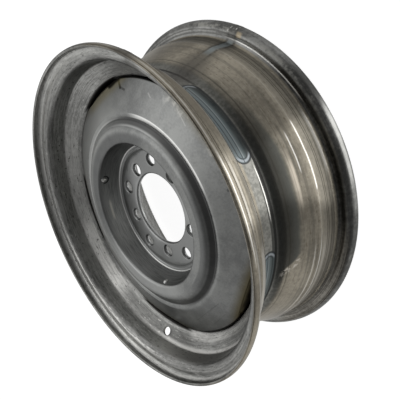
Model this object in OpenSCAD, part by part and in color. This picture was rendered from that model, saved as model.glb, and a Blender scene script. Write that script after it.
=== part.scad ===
// Steel wheel with a smooth pressed centre and a rolled drop-centre rim.
// Sizes are in millimetres. The axle runs along Z and the outboard side faces +Z.
// The origin is the middle of the hub face, the inboard face of the disc's pad.

/* [Rim] */
// Diameter of the bead seats at the foot of the flanges
bead_diameter = 380.2; // [330:0.1:460]
// Width between the two flange walls
rim_width = 139.7; // [125:0.1:180]
// How far the hub face lies outboard of the rim's middle plane
hub_offset = 23; // [15:0.5:35]
// Thickness of the rolled strip
rim_sheet = 3; // [2:0.1:4.5]
// Height of the flanges above the bead seats
flange_height = 17.3; // [14:0.1:22]
// Outer radius of the curled flange lips
lip_radius = 9.5; // [7:0.1:11]
// How far each lip curls on past its crest, in degrees
lip_sweep = 25; // [5:1:40]
// Straight end of each lip
lip_end = 1; // [0.5:0.1:3]
// Fillet between flange wall and bead seat
heel_radius = 6.5; // [4:0.1:9]
// Slope of the bead seats, in degrees
bead_taper = 5; // [2:0.5:8]
// Width of the front bead seat
front_seat_width = 23.3; // [19:0.1:28]
// Width of the rear bead seat and its ledge
rear_seat_width = 28.5; // [20:0.1:36]
// Bend radius at the inner edges of the bead seats
seat_edge_radius = 4; // [2:0.5:8]

/* [Drop centre] */
// Depth of the drop centre below the bead diameter
well_depth = 24; // [20:0.1:30]
// Slope of the front wall of the drop centre, in degrees from the axle
front_wall_slope = 53; // [45:1:60]
// Width of the flat floor of the drop centre
well_width = 26; // [22:0.5:34]
// Bend radius between front wall and floor
well_front_radius = 5; // [3:0.5:8]
// Bend radius between floor and rear step
well_rear_radius = 8; // [4:0.5:14]
// Height of the short step behind the floor
step_height = 6; // [3:0.5:10]
// Length of the short step along the axle
step_length = 8; // [5:0.5:14]
// Diameter of the valve hole
valve_diameter = 11.5; // [8:0.1:16]
// Distance of the valve hole down the front wall from the seat edge
valve_drop = 11.3; // [9:0.1:17]
// Angle of the valve hole round the axle
valve_angle = 210; // [0:1:359]

/* [Centre disc] */
// Thickness of the pressed disc
disc_sheet = 5; // [3.5:0.1:6.5]
// Diameter of the centre bore
bore_diameter = 91; // [64:0.1:94]
// Radius of the bore's rolled front edge
bore_edge = 2.5; // [0.5:0.1:3.4]
// Radius of the pad's edge, where the bowl starts
pad_radius = 83; // [80:0.1:86]
// Radius of the raised land inside the pad's channel
land_radius = 75.5; // [74:0.1:77]
// Depth of the channel round the land
channel_depth = 1.2; // [0.4:0.1:2]
// Width of the ridge between channel and bowl
channel_ridge = 2.2; // [1.5:0.1:3.5]
// Radius of the bowl at its top edge
bowl_radius = 91; // [88:0.1:96]
// Height of the crown above the hub face
crown_height = 33; // [26:0.1:40]
// Outer radius of the flat top of the crown
crown_radius = 108; // [103:0.1:112]
// Radius of the groove round the crown
groove_radius = 119; // [116:0.1:121]
// Depth of the groove below the edge of the conical face
groove_depth = 1.4; // [0.5:0.1:3]
// Inner radius of the conical face
face_radius = 124; // [122:0.1:128]
// Height of the conical face at its inner edge
face_height = 26; // [22:0.1:30]
// Slope of the conical face, in degrees
face_slope = 22; // [12:0.5:26]
// Length of the flange inside the drop centre
flange_length = 18; // [12:0.5:22]
// Gap between the flange and the drop centre
flange_gap = 0.1; // [0.05:0.05:0.5]
// Bend radius of the pad's edge
pad_bend = 2.5; // [1.5:0.5:6]
// Bend radius behind the crown's inner edge
bowl_bend = 3; // [1:0.5:6]
// Front radius of the crown's inner edge
bowl_edge = 4; // [2:0.5:8]
// Bend radius of the crown's outer edge
crown_bend = 7; // [2:0.5:12]
// Bend radius of the groove
groove_bend = 2; // [1:0.5:4]
// Bend radius behind the edge of the conical face
face_bend = 1; // [0.5:0.5:3]
// Inside bend radius of the shoulder
shoulder_bend = 5; // [3:0.5:8]
// Outside radius of the shoulder between the welds
shoulder_edge = 2; // [1:0.5:4]

/* [Lug holes] */
// Diameter of the first lug circle
small_circle = 114.3; // [112:0.1:116]
// Diameter of the second lug circle
large_circle = 127; // [124:0.1:130]
// Holes in each circle
lug_count = 5; // [4:1:5]
// Diameter of the lug holes
lug_diameter = 13.8; // [12:0.1:15.5]
// Diameter of the coned nut seat at the front
lug_seat = 16.4; // [15.8:0.1:18]
// Full angle of the coned nut seat, in degrees
lug_cone = 60; // [50:5:90]

/* [Hub-cap nubs] */
// Number of nubs in the bowl
nub_count = 3; // [3:1:6]
// Angle of the first nub round the axle
nub_angle = 104; // [0:1:119]
// Radius of each rounded nub
nub_radius = 4.2; // [3:0.1:5]
// How far each nub stands out of the bowl's wall
nub_height = 2.4; // [1:0.1:2.8]
// Distance of the nubs below the top of the crown
nub_drop = 8; // [6:0.5:16]

/* [Welds] */
// Number of welds between disc and rim
weld_count = 5; // [3:1:6]
// Angle of the first weld round the axle
weld_angle = 63; // [0:1:71]
// Length of each weld round the rim, in degrees
weld_sweep = 34; // [20:1:50]
// Leg of each fillet weld
weld_leg = 4.5; // [2.5:0.1:4.8]
// Radius of the relief pressed into the shoulder at each weld
relief_radius = 16; // [11:0.5:17]

/* [Hidden] */
$fn = 120;
// Largest turn of one flat step in a drawn curve, in degrees
curve_step = 12;
// Overshoot of cutting shapes
over = 1;

bead_radius = bead_diameter / 2;
bore_radius = bore_diameter / 2;
front_wall = rim_width / 2 - hub_offset;
rear_wall = -rim_width / 2 - hub_offset;
crest_radius = bead_radius + flange_height;
well_radius = bead_radius - well_depth;
well_inside = well_radius - rim_sheet;
flange_radius = well_inside - flange_gap;
front_seat_end = [bead_radius - front_seat_width * tan(bead_taper), front_wall - front_seat_width];
rear_seat_end = [bead_radius - rear_seat_width * tan(bead_taper), rear_wall + rear_seat_width];
well_front = [well_radius, front_seat_end[1] - (front_seat_end[0] - well_radius) / tan(front_wall_slope)];
well_rear = [well_radius, well_front[1] - well_width];
step_top = well_rear + [step_height, -step_length];

shoulder_height = face_height - (flange_radius - face_radius) * tan(face_slope);
flange_end = shoulder_height - flange_length;
weld_pitch = 360 / weld_count;

// Unit direction from one point to the next
function heading(a, b) = (b - a) / norm(b - a);

// Direction after a quarter turn to the left or to the right
function left_of(d) = [-d[1], d[0]];
function right_of(d) = [d[1], -d[0]];

// Vector turned by an angle
function turned(v, a) = [v[0] * cos(a) - v[1] * sin(a), v[0] * sin(a) + v[1] * cos(a)];

// Angle that a path turns through at corner i, positive to the left
function turn_at(path, i) =
    let (d1 = heading(path[i - 1], path[i]), d2 = heading(path[i], path[i + 1]))
    atan2(cross(d1, d2), d1 * d2);

// Corner i of a path that is moved sideways to its right
function moved(path, i, side) =
    let (last = len(path) - 1)
    let (d1 = i > 0 ? heading(path[i - 1], path[i]) : heading(path[0], path[1]))
    let (d2 = i < last ? heading(path[i], path[i + 1]) : d1)
    let (m = right_of(d1) + right_of(d2))
    path[i] + 2 * side * m / (m * m);

// Length that the rounding of corner i needs on each wall beside it
function need(path, radii, i) =
    i == 0 || i == len(path) - 1 ? 0 : radii[i] * tan(abs(turn_at(path, i)) / 2);

// Part of that length that is free on the wall between corners i and j
function share(path, radii, i, j) =
    min(1, 0.98 * norm(path[j] - path[i]) / (need(path, radii, i) + need(path, radii, j)));

// Arc that rounds corner i of a path, limited by the walls beside it
function corner_arc(path, radii, i) =
    let (turn = turn_at(path, i), d1 = heading(path[i - 1], path[i]))
    let (free = min(share(path, radii, i, i - 1), share(path, radii, i, i + 1)))
    let (start = path[i] - free * need(path, radii, i) * d1)
    let (centre = start + sign(turn) * free * radii[i] * left_of(d1))
    let (steps = max(1, ceil(abs(turn) / curve_step)))
    abs(turn) < 0.1 ? [path[i]] : [for (k = [0 : steps]) centre + turned(start - centre, turn * k / steps)];

// Path with its corners rounded
function rounded(path, radii) = concat(
    [path[0]],
    [for (i = [1 : len(path) - 2]) each corner_arc(path, radii, i)],
    [path[len(path) - 1]]
);

// Radius of a bend on the left face of a sheet, and on its right face
function left_radius(path, i, bend, sheet) = turn_at(path, i) > 0 ? bend : bend + sheet;
function right_radius(path, i, bend, sheet) = turn_at(path, i) > 0 ? bend + sheet : bend;

// Left and right faces of a bent sheet, from the corners of its left face
function left_face(path, bends, sheet) =
    rounded(path, [for (i = [0 : len(path) - 1])
        i == 0 || i == len(path) - 1 ? 0 : left_radius(path, i, bends[i], sheet)]);
function right_face(path, bends, sheet) =
    rounded([for (i = [0 : len(path) - 1]) moved(path, i, sheet)], [for (i = [0 : len(path) - 1])
        i == 0 || i == len(path) - 1 ? 0 : right_radius(path, i, bends[i], sheet)]);

// Closed outline of a sheet between its two faces
function closed(left, right) = concat(left, [for (i = [len(right) - 1 : -1 : 0]) right[i]]);

// Tip and corner of a flange lip, on the side of the tyre; way is 1 at the front and -1 at the rear
function lip_tip(wall, way) =
    [crest_radius - lip_radius, wall + way * lip_radius]
    + lip_radius * [cos(lip_sweep), way * sin(lip_sweep)]
    + lip_end * [-sin(lip_sweep), way * cos(lip_sweep)];
function lip_corner(wall) =
    [crest_radius - lip_radius + lip_radius * tan((90 + lip_sweep) / 2), wall];

// Face of the rim on the side of the tyre, from the front lip to the rear lip
rim_path = [
    lip_tip(front_wall, 1),
    lip_corner(front_wall),
    [bead_radius, front_wall],
    front_seat_end,
    well_front,
    well_rear,
    step_top,
    rear_seat_end,
    [bead_radius, rear_wall],
    lip_corner(rear_wall),
    lip_tip(rear_wall, -1)
];
rim_bends = [
    0,
    lip_radius - rim_sheet,
    heel_radius,
    seat_edge_radius,
    well_front_radius,
    well_rear_radius,
    well_rear_radius,
    seat_edge_radius,
    heel_radius,
    lip_radius - rim_sheet,
    0
];

// Outboard face of the disc, from the bore to the end of the flange
disc_path = [
    [bore_radius, disc_sheet],
    [pad_radius, disc_sheet],
    [bowl_radius, crown_height],
    [crown_radius, crown_height],
    [groove_radius, face_height - groove_depth],
    [face_radius, face_height],
    [flange_radius, shoulder_height],
    [flange_radius, flange_end]
];
disc_bends = [0, pad_bend, bowl_bend, crown_bend, groove_bend, face_bend, shoulder_bend, 0];
bowl_top = 2;
shoulder = 6;

// Radii of the disc's front corners, with the given radius at the shoulder
function disc_radii(shoulder_radius) = [for (i = [0 : len(disc_path) - 1])
    i == 0 || i == len(disc_path) - 1 ? 0 :
    i == bowl_top ? bowl_edge :
    i == shoulder ? shoulder_radius :
    left_radius(disc_path, i, disc_bends[i], disc_sheet)];

bore_corner = [[bore_radius, 0], [bore_radius, disc_sheet], [land_radius, disc_sheet]];
bore_arc = corner_arc(bore_corner, [0, bore_edge, 0], 1);
face_arcs = rounded(disc_path, disc_radii(shoulder_edge));
disc_front = concat(bore_arc, [for (i = [1 : len(face_arcs) - 1]) face_arcs[i]]);
disc_back = right_face(disc_path, disc_bends, disc_sheet);
relief_arc = corner_arc(disc_path, disc_radii(relief_radius), shoulder);

// Valve hole, square to the front wall of the drop centre
module valve_hole() {
    spot = front_seat_end - valve_drop * [sin(front_wall_slope), cos(front_wall_slope)];
    rotate(valve_angle)
        translate([spot[0], 0, spot[1]])
            rotate([0, front_wall_slope + 90, 0])
                cylinder(d = valve_diameter, h = 6 * rim_sheet, center = true);
}

// One lug hole with its coned nut seat
module lug_hole() {
    cone_depth = (lug_seat - lug_diameter) / 2 / tan(lug_cone / 2);
    translate([0, 0, -over])
        cylinder(d = lug_diameter, h = disc_sheet + 2 * over);
    translate([0, 0, disc_sheet - cone_depth])
        cylinder(d1 = lug_diameter, d2 = lug_seat, h = cone_depth);
    translate([0, 0, disc_sheet])
        cylinder(d = lug_seat, h = over);
}

// Both lug circles, half a pitch apart
module lug_holes() {
    for (i = [0 : lug_count - 1]) {
        rotate(i * 360 / lug_count)
            translate([small_circle / 2, 0, 0])
                lug_hole();
        rotate((i + 0.5) * 360 / lug_count)
            translate([large_circle / 2, 0, 0])
                lug_hole();
    }
}

// Shallow channel round the land of the hub pad
module pad_channel() {
    outer = pad_radius - channel_ridge;
    rotate_extrude()
        polygon([
            [land_radius, disc_sheet + over],
            [land_radius, disc_sheet],
            [land_radius + channel_depth, disc_sheet - channel_depth],
            [outer - channel_depth, disc_sheet - channel_depth],
            [outer, disc_sheet],
            [outer, disc_sheet + over]
        ]);
}

// Rounded relief in the shoulder at each weld, cut back to a chord
module weld_reliefs() {
    first = relief_arc[0];
    last = relief_arc[len(relief_arc) - 1];
    chord = flange_radius * cos(weld_sweep / 2);
    intersection() {
        rotate_extrude()
            polygon(concat(relief_arc, [
                [last[0] + over, last[1]],
                [last[0] + over, first[1] + over],
                [first[0], first[1] + over]
            ]));
        for (i = [0 : weld_count - 1])
            rotate(weld_angle + i * weld_pitch)
                translate([chord, -flange_radius / 2, last[1] - over])
                    cube([flange_radius, flange_radius, 2 * flange_length]);
    }
}

// Hub-cap nubs on the wall of the bowl
module nubs() {
    wall = heading([pad_radius, disc_sheet], [bowl_radius, crown_height]);
    spot = [bowl_radius, crown_height] - nub_drop * wall;
    centre = spot + (nub_radius - nub_height) * right_of(wall);
    for (i = [0 : nub_count - 1])
        rotate(nub_angle + i * 360 / nub_count)
            translate([centre[0], 0, centre[1]])
                sphere(r = nub_radius);
}

module rim() {
    color("tan")
        difference() {
            rotate_extrude()
                polygon(closed(
                    left_face(rim_path, rim_bends, rim_sheet),
                    right_face(rim_path, rim_bends, rim_sheet)
                ));
            valve_hole();
        }
}

module centre_disc() {
    color("silver")
        difference() {
            union() {
                rotate_extrude()
                    polygon(closed(disc_front, disc_back));
                nubs();
            }
            lug_holes();
            pad_channel();
            weld_reliefs();
        }
}

// Fillet weld between the end of the disc's flange and the floor of the drop centre
module disc_weld(i) {
    color("dimgray")
        rotate(weld_angle + (i - 1) * weld_pitch - weld_sweep / 2)
            rotate_extrude(angle = weld_sweep)
                polygon([
                    [well_inside, flange_end],
                    [well_inside - weld_leg, flange_end],
                    [well_inside - 0.45 * weld_leg, flange_end - 0.6 * weld_leg],
                    [well_inside, flange_end - weld_leg]
                ]);
}

rim();
centre_disc();
for (i = [1 : weld_count])
    disc_weld(i);
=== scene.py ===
"""Bare steel road wheel: a rolled drop-centre rim, a pressed centre disc and five welds between them."""
import math

import bmesh
import bpy
import numpy as np
from mathutils import Matrix, Vector


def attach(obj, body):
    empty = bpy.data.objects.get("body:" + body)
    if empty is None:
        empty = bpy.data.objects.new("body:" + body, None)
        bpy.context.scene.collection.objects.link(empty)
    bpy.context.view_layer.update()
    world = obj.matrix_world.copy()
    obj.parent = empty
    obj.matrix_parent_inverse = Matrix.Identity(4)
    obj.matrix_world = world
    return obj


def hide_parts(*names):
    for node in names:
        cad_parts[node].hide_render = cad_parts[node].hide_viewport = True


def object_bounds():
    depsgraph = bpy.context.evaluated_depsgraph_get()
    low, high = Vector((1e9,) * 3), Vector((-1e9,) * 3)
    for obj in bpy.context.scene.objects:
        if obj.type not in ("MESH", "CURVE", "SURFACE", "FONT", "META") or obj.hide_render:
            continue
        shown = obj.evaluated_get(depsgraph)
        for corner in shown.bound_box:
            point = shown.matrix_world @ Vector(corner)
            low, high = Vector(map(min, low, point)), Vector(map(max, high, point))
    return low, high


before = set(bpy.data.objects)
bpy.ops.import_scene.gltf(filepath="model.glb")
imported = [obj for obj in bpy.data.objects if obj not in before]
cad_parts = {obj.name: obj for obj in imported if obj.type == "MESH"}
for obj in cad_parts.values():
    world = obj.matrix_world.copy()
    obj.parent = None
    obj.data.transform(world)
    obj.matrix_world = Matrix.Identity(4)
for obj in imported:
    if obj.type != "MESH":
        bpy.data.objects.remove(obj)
cad_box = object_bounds()

# Sizes of the rolled rim, in millimetres and degrees
MM = 0.001
BEAD_RADIUS = 190.1
RIM_WIDTH = 139.7
HUB_OFFSET = 23.0
RIM_SHEET = 3.0
FLANGE_HEIGHT = 17.3
LIP_RADIUS = 9.5
LIP_SWEEP = 25.0
LIP_END = 1.0
HEEL_RADIUS = 6.5
BEAD_TAPER = 5.0
FRONT_SEAT_WIDTH = 23.3
REAR_SEAT_WIDTH = 28.5
SEAT_EDGE_RADIUS = 4.0
WELL_DEPTH = 24.0
FRONT_WALL_SLOPE = 53.0
WELL_WIDTH = 26.0
WELL_FRONT_RADIUS = 5.0
WELL_REAR_RADIUS = 8.0
STEP_HEIGHT = 6.0
STEP_LENGTH = 8.0
VALVE_RADIUS = 5.75
VALVE_DROP = 11.3
VALVE_ANGLE = 210.0
VALVE_SPAN = 4.9
RIM_TIP_ROUND = 0.9

# Sizes of the pressed disc
DISC_SHEET = 5.0
BORE_RADIUS = 45.5
BORE_EDGE = 2.5
PAD_RADIUS = 83.0
LAND_RADIUS = 75.5
CHANNEL_DEPTH = 1.2
CHANNEL_RIDGE = 2.2
BOWL_RADIUS = 91.0
CROWN_HEIGHT = 33.0
CROWN_RADIUS = 108.0
GROOVE_RADIUS = 119.0
GROOVE_DEPTH = 1.4
FACE_RADIUS = 124.0
FACE_HEIGHT = 26.0
FACE_SLOPE = 22.0
FLANGE_LENGTH = 18.0
FLANGE_GAP = 0.1
PAD_BEND = 2.5
BOWL_BEND = 3.0
BOWL_EDGE = 4.0
CROWN_BEND = 7.0
GROOVE_BEND = 2.0
FACE_BEND = 1.0
SHOULDER_BEND = 5.0
SHOULDER_EDGE = 2.0
RELIEF_RADIUS = 16.0
CHANNEL_ROUND = 0.4
DISC_TIP_ROUND = 0.6
BORE_ROUND = 0.7

# Lug holes, nubs and welds
LUG_CIRCLES = (114.3, 127.0)
LUG_COUNT = 5
LUG_RADIUS = 6.9
LUG_SEAT_RADIUS = 8.2
LUG_CONE = 60.0
LUG_ROUND = 0.35
NUB_COUNT = 3
NUB_ANGLE = 104.0
NUB_RADIUS = 4.2
NUB_HEIGHT = 2.4
NUB_DROP = 8.0
NUB_MIDDLE_Z = 25.3
WELD_COUNT = 5
WELD_ANGLE = 63.0
WELD_SWEEP = 34.0
WELD_LEG = 4.5
BUTT_ANGLE = 17.0
BUTT_HALF = 5.0
BUTT_FOOT = 6.25
BUTT_TOP = 4.5
BUTT_RISE = 0.25
OVAL_STRAIGHT = 44.0
OVAL_HALF = 11.2
OVAL_HEIGHT = -5.8

# Rings on the tyre's side: height, half width, soft edge, grey level and share. The dark rings all round
# are left by the rollers; the bright rings and those that show only over a sector are painted highlights and
# painted shade along the bends. Those that show only over a sector go on with its middle angle, half width
# and soft edge
RINGS = (
    (-31, 0.4, 0.7, 58, 0.5), (-46, 0.3, 0.5, 84, 0.3), (-56.5, 0.8, 1.6, 84, 0.35),
    (-66.6, 0.5, 0.6, 170, 0.25), (-75.8, 0.4, 0.5, 42, 0.5), (-78.2, 0.4, 0.5, 42, 0.5),
    (-83, 0.3, 0.5, 60, 0.5), (24.7, 0.6, 0.8, 178, 0.45),
    (-51, 0.6, 0.9, 84, 0.5, -30, 8, 4), (-54.9, 0.4, 0.5, 224, 0.75, -31, 5, 3),
    (-66.6, 0.55, 0.6, 226, 0.7, -27, 4.5, 1.5), (-66.9, 0.55, 0.6, 226, 0.7, -38.5, 5.5, 1.5),
    (-87, 1, 1.4, 190, 0.5, -30, 7, 6), (-13, 0.4, 0.5, 228, 0.8, -40, 7, 5),
    (59.4, 0.6, 0.6, 52, 0.8, -37, 10, 8), (56.4, 0.4, 0.6, 216, 0.75, -38, 10, 8),
    (27, 1.6, 1.6, 80, 0.6, -39, 9, 8), (60.2, 0.3, 0.4, 54, 0.7, 18, 36, 14),
    (57.4, 0.4, 0.5, 190, 0.5, 14, 30, 14), (54.6, 0.4, 0.6, 66, 0.6, 12, 30, 14),
    (34.6, 0.7, 0.8, 200, 0.4, -36, 6, 8), (39.5, 0.4, 0.5, 84, 0.55, -34, 16, 10),
    (32.2, 0.3, 0.4, 88, 0.5, -30, 14, 10), (-66.6, 0.5, 0.7, 214, 0.6, -88, 18, 12),
    (-59.5, 0.35, 0.5, 200, 0.5, -84, 14, 10), (-52.5, 0.5, 0.9, 92, 0.5, -90, 22, 14),
    (-72, 0.4, 0.6, 196, 0.4, -80, 10, 8), (-62.5, 0.4, 0.7, 80, 0.45, -90, 22, 14),
    (26.5, 2, 1.5, 190, 0.5, -68, 10, 8), (51, 2.5, 2, 190, 0.5, -60, 9, 8),
)
RING_WAVE = 1.2

# Strokes on the disc: start and end as (degrees, millimetres from the axle), half width, grey level and share
STROKES = (
    ((44, 160), (42.5, 152.5), 1.7, 34, 0.9), ((42.5, 152.5), (39, 149.5), 0.9, 54, 0.6),
    ((-33, 154), (-34.5, 149), 1, 60, 0.5), ((-96, 137), (-122, 143), 0.2, 66, 0.3),
    ((-99, 150), (-113, 153), 0.2, 66, 0.25), ((4, 152), (-3, 146), 0.4, 180, 0.4),
    ((-18, 159), (-24, 150), 0.2, 70, 0.5), ((22, 150), (20, 147), 0.6, 170, 0.5),
)
STROKE_WAVE = 2
STROKE_SOFT = 0.5

# Noises by name. Drawn out: scale round the axle and across the sheet, detail and roughness. Even: scale,
# detail and roughness
STRIP_DRAWN = {
    "lines": (3.5, 1.3, 3, 0.6), "streaks": (13, 0.45, 4, 0.65), "nicks": (24, 0.55, 3, 0.55),
}
STRIP_EVEN = {"grain": (260, 2), "cloud": (17, 3), "pits": (210, 1), "flakes": (150, 2)}
DISC_DRAWN = {"lines": (4, 1.1, 3, 0.6)}
DISC_EVEN = {"mottle": (75, 4, 0.6), "cloud": (13, 3), "fine": (420, 2)}

# Mixtures of noises: where the climb starts and ends, then each noise and its share. In the strip's tone the
# tyre's side adds something to each share
MIXTURES = {
    "mottled": (0.42, 0.58, ("grain", 0.5), ("cloud", 0.5)),
    "drawn": (0.42, 0.62, ("lines", 0.8), ("grain", 0.2)),
    "bared": (0.4, 0.6, ("cloud", 0.3), ("grain", 0.7)),
    "toned": (0.38, 0.62, ("mottle", 0.4), ("cloud", 0.35), ("fine", 0.25)),
}
STRIP_TONE = (("lines", 0.4, -0.25), ("streaks", 0.3, -0.1), ("cloud", 0.2, 0.25), ("grain", 0.1, 0.1))
TONE_ENDS = (0.38, 0.62)

# Pairs of tints that a noise or a measure goes between, in screen levels
TINTS = {
    "grey": ((110, 110, 108), (166, 166, 163)), "tan": ((110, 105, 95), (144, 138, 125)),
    "browned": ((84, 80, 73), (150, 146, 137)), "bare": ((104, 105, 101), (128, 128, 124)),
    "scale": ((52, 53, 51), (76, 78, 75)), "heat": ((86, 94, 94), (104, 113, 115)),
    "sheet": ((120, 121, 120), (141, 142, 140)), "bead": ((70, 66, 62), (104, 98, 92)),
}

# Zones of the sheets, as what bounds them. A name is another zone. Three numbers are a sector: middle angle,
# half width and soft edge. A name with numbers is a limit: a measure, where it starts and where it is whole,
# and perhaps where it thins and where it ends
ZONES = {
    "lips": ("tyre_side", ("r", 199, 203)),
    "rear": (("z", -40, -60),),
    "grey_side": ((141, 96, 14),),
    "rear_front": ("tyre_side", ("r", 190.8, 192.2), ("z", -80, -88)),
    "well": ("tyre_side", ("r", 173, 169)),
    # Painted highlight on the rear lip's outer edge
    "glint": ((-35, 7, 8), ("z", -104, -102.4, -99.2, -97.6)),
    "rubbed_lip": ("wheel_side", ("r", 192, 197)),
    # Sectors of the lip made lighter with painted light
    "rubbed_side": ((150, 40, 30),),
    "worn_top": ("wheel_side", (32, 22, 20)),
    # Places of painted highlights along the heel, the seat edge and the flange's front
    "heel_edge": ("wheel_side", (180, 22, 30), ("heel_r", 190.7, 191.8, 192.8, 193.9)),
    "seat_edge": ("wheel_side", (190, 16, 14), ("seat_z", 21.2, 23.4, 26.6, 28.8)),
    "flange_front": ("wheel_side", (130, 55, 24), ("r", 195, 196.2, 198.6, 199.8)),
    "dish_wall": ("wheel_side", ("r", 168.5, 171, 184, 186.5), ("z", 2, 6)),
    # Sectors of the dish wall that get painted light
    "lit_wall": ("dish_wall", (160, 13, 13)),
    "lit_end": ("dish_wall", (122, 22, 16)),
    "upper": (("angle", -30, 2),),
    "high_scale": ((-56, 18, 10),),
    "clean_foot": ((-6, 12, 10),),
    "step": ("barrel", ("step_z", -14, -15.5), ("z", -29.5, -26.5)),
    "slope": ("barrel", ("slope_z", -46, -39), ("z", -24, -27), ("lead", -72, -70.5), ("angle", 32, 4)),
    "scale_start": (("lead", -81, -72),),
    "low_scale": (("z", -31, -41),),
    "heated": ("well", ("oval", 0.5, -1.2)),
    "lit_oval": ((-81, 20, 8),),
    "oval_top": (("beside", -6, 3),),
    "oval_ring": (("oval", -6, -5.3, -4.7, -4),),
    "oval_line": (("beside", 0.6, 1.3, 1.7, 2.4),),
    "slope_foot": ("barrel", ("z", -60, -28)),
    "butt_rear": ("tyre_side", ("z", -50, -62), ("r", 194, 190.5)),
    "clean_wall": ((-102, 16, 8),),
    "front": (("z", 22.6, 23.4),),
    "bowl": (("r", 92, 88),),
    # Places of painted light and painted shade on the disc
    "pale_side": ((128, 60, 34), ("r", 99, 112)),
    "face_edge": (("r", 119.7, 121.2, 124.8, 126.3),),
    "low_pad": ((-112, 38, 22), ("r", 77, 75)),
    "high_pad": ((28, 30, 18), ("r", 77, 75)),
    "channel": (("r", 76, 77, 82, 83),),
    "brown_weld": ((-81, 14, 10),),
    "tan_weld": ((56, 14, 10),),
    # Places of the welds' burn and painted shade in the reliefs
    "burnt_end": ((47, 4, 4),),
    "burnt_relief": (("relief_dark_chord", 0.3, 3.8),),
    "joint": (("r", 160.8, 162),),
}

# Marks in the order in which they are laid: the tint in screen levels or by name, the share, and what bounds
# the mark, as above. A share may be three things: the least share, a noise, and what the noise adds
STRIP_MARKS = {
    # Painted shade darkens the outer lips, and a painted highlight lies where the glint is
    "painted shade on the outer lips": ((78, 78, 76), (0.9, "tone", -0.4), "scaled_lip"),
    "glint": ((170, 170, 166), 0.4, "shining_lip"),
    "rubbed crest": ((150, 149, 143), (0, "mottled", 0.7), "outer_lip", (-8, 10, 8), ("r", 199, 201),
                     ("z", -97, -95)),
    "rubbed top": ((150, 149, 143), (0, "mottled", 0.7), "outer_lip", (26, 6, 8), ("r", 199, 201),
                   ("z", -97, -95)),
    # Painted shade on the front of the rear flange
    "painted shade on the rear flange": ((52, 51, 49), (0.95, "tone", -0.3), "rear_front", (-34, 24, 26), ("r", 202.5, 198.5)),
    "browned flange": ("browned", 0.8, "rear_front", (-92, 20, 16), ("r", 206, 203)),
    "outer line": ((66, 65, 62), 0.6, "rear_front", (42, 30, 12), ("flange_r", 197.4, 198.3, 198.9, 199.8)),
    "inner line": ((66, 65, 62), 0.6, "rear_front", (42, 30, 12), ("flange_r", 193.2, 194.4, 195.2, 196.4)),
    # Painted highlight on the rear heel
    "painted highlight on the rear heel": ((230, 229, 225), 0.9, "rear_front", (1, 13, 8), ("r", 193.3, 193.9, 194.5, 195.1)),
    # Wear on the lip, made lighter still with painted light on one side and at the top
    "worn lip with painted light": ((200, 200, 196), 1, "rubbed"),
    # Painted shade near the tip of the lip
    "painted shade near the lip's tip": ((60, 60, 58), (0.75, "tone", -0.3), "wheel_side", (190, 75, 25), ("r", 203.2, 204.6)),
    # Painted highlights along the heel, the seat edge and the flange's front
    "bright edges": ((220, 219, 215), (0.45, "tone", 0.45), "bright_edges"),
    # Painted light and painted shade over sectors of the dish wall, the lip and the heel
    "bright wall": ((220, 219, 215), 1, "bright_wall"),
    "painted light low on the wall": ((214, 213, 209), (0.3, "tone", 0.5), "wheel_side", (-105, 24, 12), ("z", 0, 3, 15, 18)),
    "shaded lip": ((96, 96, 94), 0.6, "wheel_side", (-92, 30, 16), ("r", 194.5, 196, 200, 201.5)),
    "shaded wall": ((84, 84, 82), 0.6, "dish_wall", (203, 18, 14)),
    "painted light on the low heel": ((214, 213, 209), 0.6, "wheel_side", (-118, 26, 16), ("z", 21, 24, 42, 45)),
    "dark nicks": ((66, 65, 62), 0.6, "wheel_side", ("nicks", 0.60, 0.68)),
    "light nicks": ((214, 213, 208), 0.5, "wheel_side", ("nicks", 0.38, 0.30)),
    "brown nicks": ((80, 71, 58), 0.45, "barrel", ("nicks", 0.60, 0.68)),
    "pits": ((52, 51, 48), 0.7, "wheel_side", ("pits", 0.68, 0.74), ("cloud", 0.5, 0.6)),
    # Darker in one sector of the front seat
    "darker sector of the front seat": ((78, 74, 66), 0.55, "barrel", (5, 15, 12), ("z", 18, 22, 36, 42)),
    "bare steel in the well": ("bare", 0.85, "well", ("z", 2.5, -0.5)),
    # Scale on the slope; in the step the same dark tint is painted shade
    "scale on the slope, painted shade in the step": ("scale", 1, "scaled"),
    "chips at its end": ((206, 200, 190), 0.6, "barrel", ("lead", -75.3, -73.9, -72.5, -71.1),
                         ("z", -46, -42, -26, -22), ("flakes", 0.46, 0.6)),
    # Painted highlight on the slope
    "painted glint on the slope": ((214, 204, 188), 0.8, "barrel", (-40, 5, 8), ("z", -50, -48, -46.5, -42.5),
                     ("cloud", 0.3, 0.6)),
    "grey rear seat": ((98, 97, 92), 0.35, "barrel", ("z", -90, -86, -70.5, -67.5)),
    # Painted light on the rear seat in one sector
    "painted light on the low rear seat": ((178, 173, 162), 0.6, "barrel", (-86, 16, 14), ("z", -90, -86, -70.5, -67.5)),
}
HEAT_TINTS = {
    # Heat tint darkened with painted shade in the ovals' lower part
    "heat tint with painted shade below": ((46, 50, 51), 1, "shaded_oval", ("beside", 0, -7.5)),
    "pale ends": ((142, 147, 151), 1, ("oval", -4.4, -3.1, -2.1, -0.8), ("past_end", 0, 6)),
    "dark lines": ((52, 56, 58), 0.8, "oval_lines"),
    "pale line": ((136, 141, 142), 0.6, ("beside", -0.8, -0.2, 0.2, 0.8), ("oval", -5, -6)),
}
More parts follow.
